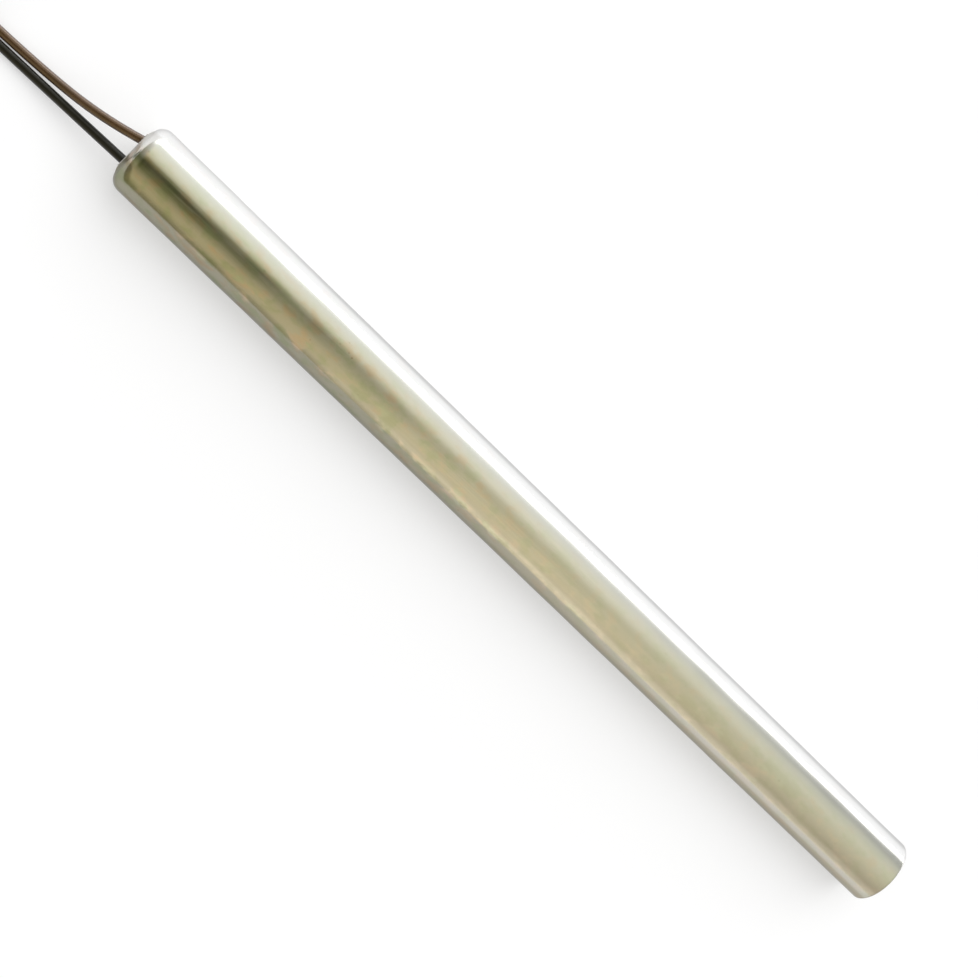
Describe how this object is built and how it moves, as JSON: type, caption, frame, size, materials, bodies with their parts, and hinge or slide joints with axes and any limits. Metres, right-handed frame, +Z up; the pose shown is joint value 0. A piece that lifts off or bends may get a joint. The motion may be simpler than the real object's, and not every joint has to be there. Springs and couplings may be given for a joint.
{
  "type": "pellet stove igniter",
  "caption": "Cartridge igniter for a pellet stove: a polished steel sheath, closed at the tip, with a brown and a black lead leaving its rolled mouth.",
  "frame": {"origin": "on the surface that the igniter lies on, under the middle of its sheath", "axes": "+X along the sheath towards the closed tip, +Z up from the surface, +Y to the side of the brown lead"},
  "size_m": [0.2055, 0.0114, 0.0099],
  "materials": {
    "polished_steel": "polished drawn stainless steel",
    "welded_steel": "stainless steel with a heat-tinted weld",
    "white_ceramic": "dense fired ceramic",
    "magnesia": "pressed magnesium oxide powder",
    "resistance_ribbon": "nickel-chromium resistance ribbon",
    "nickel": "nickel rod",
    "nickel_plated_brass": "nickel-plated crimp",
    "seal_compound": "cured potting compound",
    "copper_strands": "tinned copper strands",
    "brown_insulation": "smooth heat-resisting lead insulation",
    "black_insulation": "smooth heat-resisting lead insulation",
    "tie_plastic": "moulded nylon",
    "collar_plastic": "moulded collar",
    "tinned_copper": "tinned tube"
  },
  "bodies": {
    "root": {"sheath": "polished_steel", "tip_disc": "welded_steel", "tip_insulator": "white_ceramic", "hot_core": "white_ceramic", "cold_core": "white_ceramic", "magnesia_fill": "magnesia", "heating_coil": "resistance_ribbon", "long_pin": "nickel", "short_pin": "nickel", "rear_bush": "white_ceramic", "long_pin_barrel": "nickel_plated_brass", "short_pin_barrel": "nickel_plated_brass", "mouth_seal": "seal_compound", "brown_inner_lead": "brown_insulation", "black_inner_lead": "black_insulation", "brown_conductor": "copper_strands", "black_conductor": "copper_strands", "brown_lead": "brown_insulation", "black_lead": "black_insulation", "lead_hank": "black_insulation", "hank_tie": "tie_plastic", "brown_lead_end": "brown_insulation", "black_lead_end": "black_insulation", "brown_collar": "collar_plastic", "black_collar": "collar_plastic", "brown_ferrule": "tinned_copper", "black_ferrule": "tinned_copper"}
  },
  "joints": []
}
